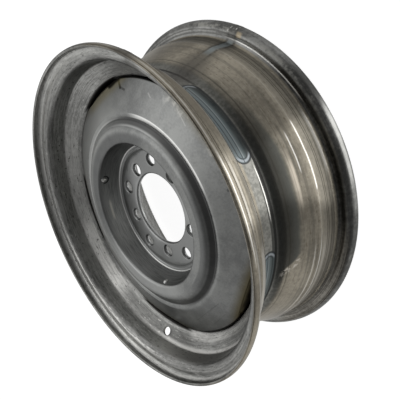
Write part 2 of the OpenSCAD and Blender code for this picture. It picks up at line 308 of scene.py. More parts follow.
WELD_MARKS = {
    "heat oval": ("heat", (0.75, "tone", 0.25), "heated"),
    "dark border": ((46, 48, 50), 0.85, "well", ("oval", -1.4, -0.4, 0.4, 1.4)),
    # Painted shade in the crease at the foot of the step
    "painted shade at the foot of the step": ((34, 34, 33), 0.85, "shaded_foot", ("z", -18.8, -17.8, -15.4, -14.4)),
    "heat at the butt weld": ((70, 68, 65), 1, "butt_heat"),
    "flattened bead": ((120, 128, 130), (0.35, "streaks", 0.7), "butt_rear",
                       ("off_butt", BUTT_HALF + 1.5, BUTT_HALF - 3)),
    "broken seams": ((50, 48, 46), 1, "butt_seam", ("streaks", 0.35, 0.65),
                     ("off_butt", BUTT_HALF - 2.2, BUTT_HALF + 0.4, BUTT_HALF + 0.8, BUTT_HALF + 3.4)),
    "ground spot": ((178, 164, 138), 0.6, "tyre_side", ("past_butt", -15.5, -11.5, -8.5, -4.5),
                    ("r", 197, 199, 203, 205), ("z", -80, -88)),
    "bright specks": ((206, 205, 200), 0.7, "outer_lip", ("past_butt", -7, -3, 7, 11), ("grain", 0.56, 0.66)),
    # Soot, and painted shade in the gap, on the wall that faces a relief
    "soot and painted shade facing a relief": ((22, 20, 18), 0.95, "wheel_side", ("r", 167.6, 165.2),
                                 ("soot_and_shade_z", 12.8, 10.2), ("past_chord", 0.5, 4)),
}
SHEEN_MARKS = {
    # Painted light and painted shade over sectors of the face and the crown
    "painted light on one side of the face": ((192, 193, 190), 0.75, "pale"),
    "painted light on the crown": ((176, 177, 175), 0.5, (-155, 30, 25), ("r", 85.5, 92.5, 100.5, 107.5)),
    "painted shade on the crown": ((90, 91, 91), 0.6, (82, 50, 25), ("r", 85.5, 92.5, 100.5, 107.5)),
    "painted shade on the foot of the crown": ((90, 91, 91), 0.6, (-60, 28, 20), ("r", 101.5, 104, 111, 113.5)),
    "painted light on the slope of the crown": ((196, 197, 195), 0.75, (45, 30, 20), ("r", 110.8, 112.2, 116.2, 117.6)),
    # Painted light in the bowl and on its wall, and painted shade on the pad and its channel
    "bowl": ((166, 167, 166), 0.8, "bowl"),
    "lit wall of the bowl": ((206, 207, 205), 0.6, "bowl", (-170, 30, 45), ("r", 83, 84.5)),
    "painted shade on the pad and its channel": ((122, 123, 122), 0.6, "dull_pad"),
    "draw lines": ((92, 93, 93), 0.45, "bowl", ("r", 82.5, 84), ("lines", 0.45, 0.6)),
    # Painted shade in the groove
    "painted shade in the groove": ((60, 60, 60), 0.8, "front", (-35, 65, 35), ("r", 111.4, 114.4, 119.2, 122.2)),
    # Worn edge of the face with a painted highlight, and a painted highlight on the pad's edge
    "worn edge of the face with a painted highlight": ((226, 226, 223), (0.65, "mottle", 0.4), "front", (0, 24, 12),
                                ("r", 120, 121.2, 124.8, 126)),
    "painted highlight on the edge of the pad": ((214, 214, 211), 0.7, ("r", PAD_RADIUS - 1.25, PAD_RADIUS - 0.75,
                                                      PAD_RADIUS - 0.05, PAD_RADIUS + 0.45)),
}
WEAR_AND_PAINTED_LIGHT_MARKS = {
    "scuffs": ((188, 187, 182), 0.55, (-5, 13, 9), ("r", 146, 151, 161, 166), ("mottle", 0.52, 0.7)),
    "scuff in the bowl": ((220, 218, 210), 0.8, "bowl", (133, 5, 6), ("z", 18.8, 20.4, 21.6, 23.2)),
    # Painted highlights on the nubs' tops, and a painted shadow below one nub
    "painted highlights on the nubs": ((236, 235, 230), 0.85, "bowl", ("off_nub", 3.6, 2)),
    "painted shadow below one nub": ((26, 26, 26), 0.85, "bowl", (NUB_ANGLE, 8, 2), ("ragged_nub", 4, 4.8, 6, 6.8),
                           ("above_nub", 1.5, 0)),
    "brown at the welds": ((92, 84, 60), 1, "weld_brown", ("past_chord", -13, 1)),
    "tan at one weld": ((162, 152, 116), 0.55, (56, 14, 10), ("past_chord", -15, -4)),
    # The welds' burn and painted shade in the reliefs, and the dark joint between disc and rim
    "burn and painted shade in the reliefs": ((22, 20, 18), 0.95, "burnt"),
}

# Fineness of the meshes
COLUMNS = 300
ARC_STEP = math.radians(10)
SMALL_ARC_STEP = math.radians(25)
SMALL_RADIUS = 1.5
RUN_STEP = 5.0
SHOULDER_REACH = 14.0
RELIEF_FADE = 1.5
SPARE = 0.98
TINY = 1e-9
MERGE = 0.002
SKIN_RUN = 200.0
BUMP_DEPTH = 0.02

# Places worked out from the sizes, as (distance from the axle, height above the hub face)
front_wall = RIM_WIDTH / 2 - HUB_OFFSET
rear_wall = -RIM_WIDTH / 2 - HUB_OFFSET
crest_radius = BEAD_RADIUS + FLANGE_HEIGHT
well_radius = BEAD_RADIUS - WELL_DEPTH
well_inside = well_radius - RIM_SHEET
flange_radius = well_inside - FLANGE_GAP
taper = math.tan(math.radians(BEAD_TAPER))
front_seat_end = np.array([BEAD_RADIUS - FRONT_SEAT_WIDTH * taper, front_wall - FRONT_SEAT_WIDTH])
rear_seat_end = np.array([BEAD_RADIUS - REAR_SEAT_WIDTH * taper, rear_wall + REAR_SEAT_WIDTH])
wall_down = np.array([-math.sin(math.radians(FRONT_WALL_SLOPE)), -math.cos(math.radians(FRONT_WALL_SLOPE))])
well_front = front_seat_end + wall_down * (well_radius - front_seat_end[0]) / wall_down[0]
well_rear = well_front + np.array([0, -WELL_WIDTH])
step_top = well_rear + np.array([STEP_HEIGHT, -STEP_LENGTH])
shoulder_height = FACE_HEIGHT - (flange_radius - FACE_RADIUS) * math.tan(math.radians(FACE_SLOPE))
flange_end = shoulder_height - FLANGE_LENGTH
weld_pitch = 360 / WELD_COUNT


def unit(v):
    """Vectors divided by their own lengths."""
    return v / np.linalg.norm(v, axis=-1, keepdims=True)


def left_of(v):
    """Plane vectors after a quarter turn to the left: (-y, x)."""
    return np.stack([-v[..., 1], v[..., 0]], -1)


def turns(path):
    """Angle that an open path turns through at each corner, positive to the left, and 0 at its ends."""
    d = unit(np.diff(path, axis=0))
    angle = np.arctan2(d[:-1, 0] * d[1:, 1] - d[:-1, 1] * d[1:, 0], np.sum(d[:-1] * d[1:], 1))
    return np.concatenate([[0], angle, [0]])


def moved(path, side):
    """Corners of an open path slid to its right, so that every wall moves by the same side."""
    d = unit(np.diff(path, axis=0))
    mitre = -left_of(np.vstack([d[:1], d])) - left_of(np.vstack([d, d[-1:]]))
    return path + 2 * side * mitre / np.sum(mitre * mitre, 1, keepdims=True)


def outline(corners, radii, loop):
    """Path with rounded corners: each corner becomes an arc tangent to both its walls, with its radius cut
    down where two arcs would overlap, and each wall is divided evenly. Gives the points and each corner's
    first row."""
    corners, radii = np.asarray(corners, float), np.asarray(radii, float)
    ahead = np.roll(corners, -1, 0) - corners
    wall = np.linalg.norm(ahead, axis=1)
    out = ahead / wall[:, None]
    into = np.roll(out, 1, 0)
    turn = np.arctan2(into[:, 0] * out[:, 1] - into[:, 1] * out[:, 0], np.sum(into * out, 1))
    if not loop:
        turn[[0, -1]] = 0
    need = radii * np.tan(np.abs(turn) / 2)
    share = np.minimum(1, SPARE * wall / np.maximum(need + np.roll(need, -1), TINY))
    free = np.minimum(share, np.roll(share, 1))
    start = corners - into * (free * need)[:, None]
    centre = start + left_of(into) * (np.sign(turn) * free * radii)[:, None]
    arcs = []
    for i in range(len(corners)):
        step = ARC_STEP if radii[i] > SMALL_RADIUS else SMALL_ARC_STEP
        steps = 0 if need[i] < TINY else max(2, math.ceil(abs(turn[i]) / step))
        swing = turn[i] * np.linspace(0, 1, steps + 1)[:, None]
        arm = start[i] - centre[i]
        arcs.append(centre[i] + np.cos(swing) * arm + np.sin(swing) * left_of(arm))
    rows, first = [], []
    for i, arc in enumerate(arcs):
        first.append(sum(map(len, rows)))
        rows.append(arc)
        if loop or i < len(arcs) - 1:
            begin, end = arc[-1], arcs[(i + 1) % len(arcs)][0]
            part = np.linspace(0, 1, max(1, math.ceil(wall[i] / RUN_STEP)) + 1)[1:-1, None]
            rows.append(begin + part * (end - begin))
    return np.concatenate(rows), first


def distance_along(points):
    """Distance along a polyline from its first point to each of its points."""
    return np.concatenate([[0], np.cumsum(np.linalg.norm(np.diff(points, axis=0), axis=1))])


def signed_run(section, turn_row):
    """Distance along a closed section from its first point: counted up to the row where it turns back at the
    far edge of the sheet, and from there as a negative distance that ends at 0."""
    run = distance_along(section)
    return np.where(np.arange(len(run)) < turn_row, run, run - run[-1])


def revolve(section, angles):
    """Section points (r, z) carried round the axle: x = r cos a, y = r sin a. One column for each angle."""
    a = np.radians(angles)[:, None]
    r, z = section[..., 0], section[..., 1]
    return np.stack([r * np.cos(a), r * np.sin(a), z + 0 * a], -1)


def grid_quads(columns, rows, wrap_columns, wrap_rows):
    """Quads between neighbouring columns and rows of a grid of points, as an array (column, row, 4)."""
    c = np.arange(columns if wrap_columns else columns - 1)[:, None]
    r = np.arange(rows if wrap_rows else rows - 1)[None, :]
    c2, r2 = (c + 1) % columns, (r + 1) % rows
    return np.stack([c * rows + r, c2 * rows + r, c2 * rows + r2, c * rows + r2], -1)


def put(name, data):
    """New object with some data, in the scene."""
    thing = bpy.data.objects.new(name, data)
    bpy.context.scene.collection.objects.link(thing)
    return thing


def make_piece(name, grids, finish, nodes):
    """One closed mesh from grids of (points in mm, quads, distance along the section): points that meet are
    merged and faces turned outwards. The piece rides on the wheel and stands for the CAD nodes named."""
    points = np.concatenate([p.reshape(-1, 3) for p, _, _ in grids])
    run = np.concatenate([np.broadcast_to(d, p.shape[:-1]).reshape(-1) for p, _, d in grids])
    starts = np.cumsum([0] + [p.size // 3 for p, _, _ in grids])
    quads = np.concatenate([q.reshape(-1, 4) + s for (_, q, _), s in zip(grids, starts)])
    used, quads = np.unique(quads, return_inverse=True)
    mesh = bpy.data.meshes.new(name)
    mesh.from_pydata(points[used] * MM, [], quads.reshape(-1, 4).tolist())
    mesh.attributes.new("run", "FLOAT", "POINT").data.foreach_set("value", run[used].astype(np.float32))
    bm = bmesh.new()
    bm.from_mesh(mesh)
    bmesh.ops.remove_doubles(bm, verts=bm.verts, dist=MERGE * MM)
    bmesh.ops.recalc_face_normals(bm, faces=bm.faces)
    bm.to_mesh(mesh)
    bm.free()
    mesh.polygons.foreach_set("use_smooth", np.ones(len(mesh.polygons), bool))
    mesh.materials.append(finish)
    piece = put(name, mesh)
    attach(piece, "root")
    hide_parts(*nodes)


def sheet_radii(path, bends, sheet):
    """Radii of a bent sheet's two faces: a bend's own on its inside, and the sheet more on its outside."""
    to_left = turns(path) > 0
    bends = np.asarray(bends)
    return np.where(to_left, bends, bends + sheet), np.where(to_left, bends + sheet, bends)


# Rolled rim
def lip(wall, way):
    """Tip and corner of a flange lip on the tyre's side: an arc past the crest, then a short end."""
    sweep = math.radians(LIP_SWEEP)
    centre = np.array([crest_radius - LIP_RADIUS, wall + way * LIP_RADIUS])
    tip = centre + LIP_RADIUS * np.array([math.cos(sweep), way * math.sin(sweep)])
    tip += LIP_END * np.array([-math.sin(sweep), way * math.cos(sweep)])
    corner = np.array([centre[0] + LIP_RADIUS * math.tan((math.pi / 2 + sweep) / 2), wall])
    return tip, corner


def rim_grids():
    """The strip's section carried round the axle, with a window in the front wall for the valve hole. A grid
    of rings joins the window's edge on one face through the hole to the window's edge on the other face."""
    window = 7.9
    valve_spot = front_seat_end + VALVE_DROP * wall_down
    front_tip, front_corner = lip(front_wall, 1)
    rear_tip, rear_corner = lip(rear_wall, -1)
    path = np.array([
        front_tip, front_corner, [BEAD_RADIUS, front_wall], front_seat_end,
        valve_spot - window * wall_down, valve_spot + window * wall_down,
        well_front, well_rear, step_top, rear_seat_end, [BEAD_RADIUS, rear_wall], rear_corner, rear_tip,
    ])
    curl = LIP_RADIUS - RIM_SHEET
    bends = [0, curl, HEEL_RADIUS, SEAT_EDGE_RADIUS, 0, 0, WELL_FRONT_RADIUS, WELL_REAR_RADIUS,
             WELL_REAR_RADIUS, SEAT_EDGE_RADIUS, HEEL_RADIUS, curl, 0]
    left, right = sheet_radii(path, bends, RIM_SHEET)
    left[[0, -1]] = right[[0, -1]] = RIM_TIP_ROUND
    corners = np.vstack([path, moved(path, RIM_SHEET)[::-1]])
    section, first = outline(corners, np.concatenate([left, right[::-1]]), True)
    last = len(path) * 2 - 1
    run = signed_run(section, first[len(path)])
    tyre_rows = first[4], first[5]
    wheel_rows = first[last - 5], first[last - 4]
    butt_lines = np.array([-BUTT_FOOT, -BUTT_TOP, BUTT_TOP, BUTT_FOOT])
    butt_edges = BUTT_ANGLE + np.degrees(butt_lines / BEAD_RADIUS)
    angles = np.sort(np.concatenate([np.arange(COLUMNS) * 360 / COLUMNS, butt_edges]))
    points = revolve(section, angles)
    quads = grid_quads(len(angles), len(section), True, True)

    # Raised band of the butt weld, on both faces of the strip
    off = np.abs(np.radians(angles - BUTT_ANGLE)) * BEAD_RADIUS
    lift = BUTT_RISE * np.clip((BUTT_FOOT - off) / (BUTT_FOOT - BUTT_TOP), 0, 1)
    slope = unit(np.roll(section, -1, 0) - np.roll(section, 1, 0))
    outward = revolve(left_of(slope), angles)
    points = points + lift[:, None, None] * outward

    # Window in both faces and the rings of the valve hole
    near = np.flatnonzero(np.abs(angles - VALVE_ANGLE) < VALVE_SPAN)
    c0, c1 = near[0], near[-1]
    keep = np.ones(quads.shape[:2], bool)
    for low, high in (tyre_rows, wheel_rows):
        keep[c0:c1, low:high] = False
    rows = tyre_rows[1] - tyre_rows[0]
    down = np.linspace(-window, window, rows + 1)
    over = angles[c0:c1 + 1]
    edge_down = np.concatenate([down[:-1], np.full(c1 - c0, window), down[:0:-1], np.full(c1 - c0, -window)])
    edge_over = np.concatenate([np.full(rows, over[0]), over[:-1], np.full(rows, over[-1]), over[:0:-1]])
    across = np.radians(edge_over - VALVE_ANGLE) * (valve_spot[0] + edge_down * wall_down[0])
    reach = np.hypot(edge_down, across)
    soft, bevel = 0.5, 0.15
    rings = [(1.0, None, 0.0), (0.5, None, 0.0), (0.0, VALVE_RADIUS + soft, 0.0),
             (0.0, VALVE_RADIUS + bevel, bevel), (0.0, VALVE_RADIUS, soft)]
    rings += [(f, r, RIM_SHEET - d) for f, r, d in rings[::-1]]
    grid = []
    for share, radius, depth in rings:
        size = share * reach + (1 - share) * (radius or VALVE_RADIUS + soft)
        x, y = edge_down / reach * size, across / reach * size
        base = valve_spot[0] + x * wall_down[0]
        ring = np.stack([base, valve_spot[1] + x * wall_down[1]], -1) - depth * left_of(wall_down)
        grid.append(revolve(ring[:, None], VALVE_ANGLE + np.degrees(y / base))[:, 0])
    hole = np.stack(grid, 1)
    tyre_run = run[tyre_rows[0]] + window + edge_down
    wheel_run = run[wheel_rows[0]] + window - edge_down
    hole_run = np.stack([tyre_run] * (len(rings) // 2) + [wheel_run] * (len(rings) // 2), 1)
    return [(points, quads[keep], run), (hole, grid_quads(len(reach), len(rings), True, False), hole_run)]


# Pressed disc
def disc_section():
    """Front face of the disc from the land outwards, then its back face inwards. Gives the points and the
    rows between which the shoulder is drawn: a place on the conical face and the end of the flange."""
    bowl_foot, bowl_top = [PAD_RADIUS, DISC_SHEET], [BOWL_RADIUS, CROWN_HEIGHT]
    path = np.array([
        [BORE_RADIUS, DISC_SHEET], bowl_foot, bowl_top, [CROWN_RADIUS, CROWN_HEIGHT],
        [GROOVE_RADIUS, FACE_HEIGHT - GROOVE_DEPTH], [FACE_RADIUS, FACE_HEIGHT],
        [flange_radius, shoulder_height], [flange_radius, flange_end],
    ])
    bends = [0, PAD_BEND, BOWL_BEND, CROWN_BEND, GROOVE_BEND, FACE_BEND, SHOULDER_BEND, 0]
    left, right = sheet_radii(path, bends, DISC_SHEET)
    left[2] = BOWL_EDGE
    left[6] = SHOULDER_EDGE
    left[-1] = right[-1] = DISC_TIP_ROUND
    ridge = PAD_RADIUS - CHANNEL_RIDGE
    channel = [
        [LAND_RADIUS, DISC_SHEET], [LAND_RADIUS + CHANNEL_DEPTH, DISC_SHEET - CHANNEL_DEPTH],
        [ridge - CHANNEL_DEPTH, DISC_SHEET - CHANNEL_DEPTH], [ridge, DISC_SHEET],
    ]
    corners = np.vstack([channel, path[1:], moved(path, DISC_SHEET)[:0:-1], [[LAND_RADIUS, 0]]])
    radii = np.concatenate([[0], np.full(3, CHANNEL_ROUND), left[1:], right[:0:-1], [0]])
    section, first = outline(corners, radii, False)
    flange_row = first[len(channel) + len(path) - 2]
    face_row = np.flatnonzero(section[:flange_row, 0] < flange_radius - SHOULDER_REACH)[-1] + 1
    return section, face_row, flange_row


def shoulder_arc(radius, swing):
    """Points on an arc of a radius, tangent to the conical face and the flange, at angles from the face."""
    slope = math.radians(FACE_SLOPE)
    need = radius * math.tan((math.pi / 2 - slope) / 2)
    centre = np.array([flange_radius - radius, shoulder_height - need])
    return centre + radius * np.stack([np.sin(slope + swing), np.cos(slope + swing)], -1)


def on_face(r):
    """Points of the conical face at distances from the axle."""
    return np.stack([r, shoulder_height + (flange_radius - r) * math.tan(math.radians(FACE_SLOPE))], -1)


def shoulder_rows(angles):
    """Front of the shoulder for each angle: along the conical face to an edge, then down an arc to the
    flange. Between the welds the arc is tight. At a weld it is the relief's arc, entered at a chord across
    the weld."""
    arc_rows, tight_rows = 15, 11
    face_share = np.array([0, 0.35, 0.65, 0.85, 0.95, 1.0])
    arc_share = np.linspace(0, 1, arc_rows)
    swing = math.pi / 2 - math.radians(FACE_SLOPE)
    off = np.radians((angles - WELD_ANGLE + weld_pitch / 2) % weld_pitch - weld_pitch / 2)
    chord = flange_radius * math.cos(math.radians(WELD_SWEEP / 2)) / np.cos(off)
    begin = flange_radius - SHOULDER_REACH
    relief_first = shoulder_arc(RELIEF_RADIUS, np.zeros(1))[0, 0]
    edge = np.clip(chord, relief_first, flange_radius)
    lean = np.clip((edge - flange_radius + RELIEF_RADIUS) / RELIEF_RADIUS, 0, 1)
    entry = np.clip(np.arcsin(lean) - math.radians(FACE_SLOPE), 0, swing)
    relief_face = on_face(begin + (edge[:, None] - begin) * face_share)
    relief = shoulder_arc(RELIEF_RADIUS, entry[:, None] + (swing - entry[:, None]) * arc_share)
    tight_arc = shoulder_arc(SHOULDER_EDGE, swing * np.linspace(0, 1, tight_rows))
    wall_foot = relief[0, -1]
    wall_share = np.linspace(0, 1, arc_rows - tight_rows + 1)[1:, None]
    tight_arc = np.vstack([tight_arc, tight_arc[-1] + wall_share * (wall_foot - tight_arc[-1])])
    tight = np.vstack([on_face(begin + (tight_arc[0, 0] - begin) * face_share), tight_arc])
    share = np.clip((flange_radius - chord) / RELIEF_FADE, 0, 1)[:, None, None]
    return tight + share * (np.concatenate([relief_face, relief], 1) - tight)


def lug_sectors():
    """Flat land between bore and channel in ten sectors, each a grid of rings from the sector's edge into its
    lug hole, down the coned seat and the hole's wall, and out again to the same edge at the back."""
    count = COLUMNS // (2 * LUG_COUNT)
    side_rows = 8
    half = 180 / LUG_COUNT / 2
    arc = np.radians(np.linspace(-half, half, count + 1))
    edges = []
    for inner in (BORE_RADIUS + BORE_EDGE, BORE_RADIUS + BORE_ROUND):
        side = np.linspace(inner, LAND_RADIUS, side_rows + 1)
        far, near = np.full(count, LAND_RADIUS), np.full(count, inner)
        edges.append(np.concatenate([far, side[:0:-1], near, side[:-1]]))
    edge_a = np.concatenate([arc[:-1], np.full(side_rows, arc[-1]), arc[:0:-1], np.full(side_rows, arc[0])])
    cone_depth = (LUG_SEAT_RADIUS - LUG_RADIUS) / math.tan(math.radians(LUG_CONE / 2))
    rings = [
        (1.0, 0, DISC_SHEET), (0.6, 0, DISC_SHEET), (0.2, 0, DISC_SHEET),
        (0, LUG_SEAT_RADIUS + LUG_ROUND, DISC_SHEET), (0, LUG_SEAT_RADIUS, DISC_SHEET - 0.3 * LUG_ROUND),
        (0, LUG_SEAT_RADIUS - LUG_ROUND, DISC_SHEET - 1.7 * LUG_ROUND),
        (0, LUG_RADIUS + LUG_ROUND, DISC_SHEET - cone_depth + LUG_ROUND),
        (0, LUG_RADIUS, DISC_SHEET - cone_depth - LUG_ROUND / 2),
        (0, LUG_RADIUS, LUG_ROUND), (0, LUG_RADIUS + LUG_ROUND, 0), (0.3, 0, 0), (1.0, 0, 0),
    ]
    grids = []
    for i in range(2 * LUG_COUNT):
        middle = LUG_CIRCLES[i % 2] / 2
        grid = []
        for share, radius, height in rings:
            edge_r = edges[0] if height > DISC_SHEET / 2 else edges[1]
            edge = np.stack([edge_r * np.cos(edge_a) - middle, edge_r * np.sin(edge_a)], -1)
            reach = np.linalg.norm(edge, axis=1)
            size = share * reach + (1 - share) * (radius or LUG_SEAT_RADIUS + LUG_ROUND)
            flat = edge / reach[:, None] * size[:, None] + [middle, 0]
            turn = np.arctan2(flat[:, 1], flat[:, 0]) + math.radians(2 * half * i)
            far = np.hypot(flat[:, 0], flat[:, 1])
            grid.append(np.stack([far * np.cos(turn), far * np.sin(turn), np.full(len(far), height)], -1))
        grids.append((np.stack(grid, 1), grid_quads(len(reach), len(rings), True, False), 0.0))
    return grids


def nub_grids():
    """Balls let into the wall of the bowl, on a grid of longitude and latitude."""
    wall = unit(np.array([BOWL_RADIUS - PAD_RADIUS, CROWN_HEIGHT - DISC_SHEET]))
    spot = np.array([BOWL_RADIUS, CROWN_HEIGHT]) - NUB_DROP * wall
    centre = spot - (NUB_RADIUS - NUB_HEIGHT) * left_of(wall)
    long_rows, lat_rows = 24, 13
    around = np.linspace(0, 2 * np.pi, long_rows, endpoint=False)
    upward = np.linspace(-np.pi / 2, np.pi / 2, lat_rows)
    long, lat = np.meshgrid(around, upward, indexing="ij")
    ball = NUB_RADIUS * np.stack([np.cos(lat) * np.cos(long), np.cos(lat) * np.sin(long), np.sin(lat)], -1)
    grids = []
    for i in range(NUB_COUNT):
        a = math.radians(NUB_ANGLE + i * 360 / NUB_COUNT)
        place = np.array([centre[0] * math.cos(a), centre[0] * math.sin(a), centre[1]])
        grids.append((ball + place, grid_quads(long_rows, lat_rows, True, False), 0.0))
    return grids


def disc_grids():
    """The pressed section carried round the axle, with the shoulder of each angle put in between its conical
    face and the end of its flange. Then the bore with its rolled front edge, the land with the lug holes, and
    the nubs."""
    section, face_row, flange_row = disc_section()
    angles = np.arange(COLUMNS) * 360 / COLUMNS
    before, after = (np.broadcast_to(part, (COLUMNS,) + part.shape)
                     for part in (section[:face_row], section[flange_row:]))
    sections = np.concatenate([before, shoulder_rows(angles), after], 1)
    skin_run = SKIN_RUN + distance_along(sections[0])
    skin = (revolve(sections, angles), grid_quads(COLUMNS, sections.shape[1], True, False), skin_run)

    quarter = np.linspace(0, np.pi / 2, 7)
    corner = np.stack([1 - np.sin(quarter), np.cos(quarter) - 1], -1)
    top = np.array([BORE_RADIUS, DISC_SHEET]) + BORE_EDGE * corner
    low = np.array([BORE_RADIUS, 0]) + BORE_ROUND * corner[::-1] * [1, -1]
    bore = np.vstack([top, low])
    bore_grid = (revolve(bore, angles), grid_quads(COLUMNS, len(bore), True, False), 0.0)
    return [skin, bore_grid] + lug_sectors() + nub_grids()


# Weld beads
def weld_grid(number):
    """Fillet bead swept round the end of the flange: a bulged chord between both legs, with crescent ripples
    whose phase lags at the bead's middle, shrunk to a point at both ends."""
    length, height = 220, 15
    sink = 0.15
    ripple, pitch, lag, start = 0.28, 2.3, 1.1, 0.37
    bulge, fade, wave, wave_length, wave_start = 0.5, 7.0, 0.08, 9, 1.7
    u = np.linspace(-0.5, 0.5, length)[:, None] * math.radians(WELD_SWEEP)
    v = np.linspace(0, 1, height)[None, :]
    corner = np.array([well_inside + sink, flange_end + sink])
    leg_r = well_inside + sink - (WELD_LEG + sink) * v
    leg_z = flange_end - WELD_LEG * (1 - v) + sink * v
    legs = np.stack([leg_r, leg_z], -1)
    along = u * well_inside
    crest = np.abs(np.sin(np.pi * (along / pitch + number * start + lag * np.sin(np.pi * v) / np.pi)))
    wander = 1 + wave * np.sin(along / wave_length + number * wave_start)
    swell = (bulge * wander + ripple * crest) * np.sin(np.pi * v)
    skin = legs - (swell / math.sqrt(2))[..., None] * np.array([1.0, 1.0])
    ends = np.sqrt(np.clip((math.radians(WELD_SWEEP) / 2 - np.abs(u)) * well_inside / fade, 0, 1))
    section = np.concatenate([np.broadcast_to(corner, (length, 1, 2)), skin], 1)
    section = corner + ends[..., None] * (section - corner)
    turn = np.degrees(u[:, 0]) + WELD_ANGLE + (number - 1) * weld_pitch
    return revolve(section, turn), grid_quads(length, height + 1, False, True), 0.0


class Wire:
    """A shader socket in an expression: values joined by operators add Math nodes."""

    def __init__(self, tree, socket=None):
        self.tree = tree
        self.socket = socket

    def make(self, kind, settings=None, inputs=None, output=0):
        """New node of a kind: its settings first, then the values or links of its sockets."""
        node = self.tree.nodes.new("ShaderNode" + kind)
        for name, value in (settings or {}).items():
            setattr(node, name, value)
        for name, value in (inputs or {}).items():
            if isinstance(value, Wire):
                self.tree.links.new(value.socket, node.inputs[name])
            else:
                node.inputs[name].default_value = value
        return Wire(self.tree, node.outputs[output])

    def math(self, operation, *values):
        """Math node of an operation on these values."""
        return self.make("Math", {"operation": operation}, dict(enumerate(values)))

    def __add__(self, other):
        return self.math("ADD", self, other)

    def __radd__(self, other):
        return self.math("ADD", other, self)

    def __sub__(self, other):
        return self.math("SUBTRACT", self, other)

    def __rsub__(self, other):
        return self.math("SUBTRACT", other, self)

    def __mul__(self, other):
        return self.math("MULTIPLY", self, other)

    def __rmul__(self, other):
        return self.math("MULTIPLY", other, self)


def bigger(a, b):
    """The larger of two values."""
    return a.math("MAXIMUM", a, b)


def size_of(value):
    """A value without its sign."""
    return value.math("ABSOLUTE", value)


def rise(value, low, high):
    """Smooth climb from 0 at low to 1 at high, or a fall where low is the larger."""
    return value.make("MapRange", {"interpolation_type": "SMOOTHSTEP"},
                      {"Value": value, "From Min": low, "From Max": high})


def band(value, middle, half, soft):
    """1 within half of the middle, falling to 0 over a soft edge."""
    return rise(size_of(value - middle), half + soft, half)


def blend(base, colour, share):
    """Colour laid over a base by a share from 0 to 1."""
    return share.make("Mix", {"data_type": "RGBA"}, {0: share, 6: base, 7: colour}, 2)


def shade(red, green, blue):
    """Colour given as 0 to 255 screen levels, as linear light."""
    levels = np.array([red, green, blue]) / 255
    return tuple(np.where(levels > 0.04045, ((levels + 0.055) / 1.055) ** 2.4, levels / 12.92)) + (1.0,)


def speckle(place, scale, detail=3.0, rough=0.55):
    """Noise from 0 to 1 at a place."""
    sockets = {"Vector": place, "Scale": scale, "Detail": detail, "Roughness": rough}
    return place.make("TexNoise", None, sockets)


class WheelPlace:
    """Where a point of the wheel lies: in millimetres from the axle and above the hub face, in degrees round
    it, and along the section of its sheet."""

    def __init__(self, tree):
        self.spot = Wire(tree).make("TexCoord", output=3)
        split = [self.spot.make("SeparateXYZ", None, {0: self.spot}, i) for i in range(3)]
        self.x, self.y, self.z = (part * (1 / MM) for part in split)
        self.r = self.x.math("SQRT", self.x * self.x + self.y * self.y)
        self.turn = self.x.math("ARCTAN2", self.y, self.x)
        self.angle = self.turn * (180 / math.pi)
        self.run = self.spot.make("Attribute", {"attribute_name": "run"}, output=2)

    def degrees_from(self, angle, period=360.0):
        """Degrees past an angle, counted in turns of a period from minus half to plus half of it."""
        return self.angle.math("WRAP", self.angle - angle, period / 2, -period / 2)

    def sector(self, middle, half, soft):
        """1 within half degrees of an angle round the axle, falling to 0 over a soft edge."""
        return band(self.degrees_from(middle), 0.0, half, soft)

    def arc_from(self, angle, period=360.0):
        """Millimetres round the axle past an angle."""
        return self.degrees_from(angle, period) * self.r * (math.pi / 180)

    def drawn_out(self, round_scale, run_scale):
        """Place stretched round the axle, for marks that follow the rolling: round the axle and across it."""
        return self.spot.make("CombineXYZ", None, {
            0: self.turn.math("COSINE", self.turn) * round_scale,
            1: self.turn.math("SINE", self.turn) * round_scale,
            2: self.run * run_scale,
        })


def steel(name, constants, varying):
    """Metal surface: constants go on the shader's own sockets, varying values and colours are linked to
    theirs. A height among them goes through a Bump node."""
    material = bpy.data.materials.new(name)
    material.use_nodes = True
    tree = material.node_tree
    shader = next(n for n in tree.nodes if n.type == "BSDF_PRINCIPLED")
    for socket, value in constants.items():
        shader.inputs[socket].default_value = value
    for socket, value in varying(WheelPlace(tree)).items():
        if socket == "Height":
            depth, height = value
            value = height.make("Bump", None, {"Strength": 1.0, "Distance": depth * MM, "Height": height})
            socket = "Normal"
        tree.links.new(value.socket, shader.inputs[socket])
    return material


def off_stroke(at, start, end):
    """Distance in millimetres, seen along the axle, from a straight stroke between two places given as
    (degrees round the axle, millimetres from it)."""
    turned = [(math.radians(angle), far) for angle, far in (start, end)]
    (x0, y0), (x1, y1) = ((far * math.cos(a), far * math.sin(a)) for a, far in turned)
    length = math.hypot(x1 - x0, y1 - y0)
    along_x, along_y = (x1 - x0) / length, (y1 - y0) / length
    from_x, from_y = at.x - (x0 + x1) / 2, at.y - (y0 + y1) / 2
    past_end = bigger(size_of(from_x * along_x + from_y * along_y) - length / 2, 0.0)
    beside = from_x * along_y - from_y * along_x
    return at.x.math("SQRT", past_end * past_end + beside * beside)


def past_weld_chord(at):
    """Millimetres past the chord that joins the ends of the nearest disc weld, away from the axle."""
    off = at.degrees_from(WELD_ANGLE, weld_pitch) * (math.pi / 180)
    return at.r * off.math("COSINE", off) - flange_radius * math.cos(math.radians(WELD_SWEEP / 2))


def heat_oval(at):
    """Distance in millimetres outside the nearest heat oval: a straight run along the well's floor over each
    disc weld, with half-round ends. Also the distance past the straight run and beside its middle line."""
    past_end = bigger(size_of(at.arc_from(WELD_ANGLE, weld_pitch)) - OVAL_STRAIGHT, 0.0)
    beside = at.z - OVAL_HEIGHT
    return at.z.math("SQRT", past_end * past_end + beside * beside) - OVAL_HALF, past_end, beside


def two_tone(name, share):
    """Colour between the two tints of a pair, by a share."""
    low, high = TINTS[name]
    return blend(shade(*low), shade(*high), share)


